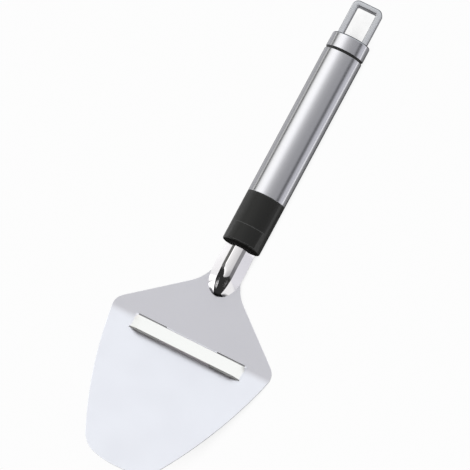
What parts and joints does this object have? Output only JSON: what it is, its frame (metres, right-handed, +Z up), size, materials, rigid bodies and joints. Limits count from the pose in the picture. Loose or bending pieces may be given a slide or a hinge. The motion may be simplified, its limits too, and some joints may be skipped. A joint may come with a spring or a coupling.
{
  "type": "cheese slicer",
  "caption": "Hand cheese slicer: bent steel blade with a raised strip over its slot, polished neck, black collar, oval tube handle and flat hanging loop.",
  "frame": {"origin": "under the middle of the tool's length and width, at the level of the handle's underside", "axes": "+X across the blade, +Y along the handle's axis from the blade to the hanging loop, +Z up, towards the face with the raised strip"},
  "size_m": [0.0814, 0.2506, 0.0295],
  "materials": {
    "blade_steel": "satin rolled sheet, fine grain",
    "polished_steel": "mirror polished",
    "collar_plastic": "fine moulded grain, soft sheen",
    "handle_steel": "brushed round the girth, semi-bright",
    "ring_plastic": "moulded, matt",
    "plug_plastic": "moulded, matt",
    "loop_steel": "tumbled, matt",
    "pin_steel": "drawn"
  },
  "bodies": {
    "root": {"blade": "blade_steel", "shank": "polished_steel", "collar": "collar_plastic", "tang_pin": "pin_steel", "handle_tube": "handle_steel", "spacer_ring": "ring_plastic", "tail_plug": "plug_plastic", "end_cap": "handle_steel", "hang_loop": "loop_steel", "loop_pin": "pin_steel"}
  },
  "joints": []
}
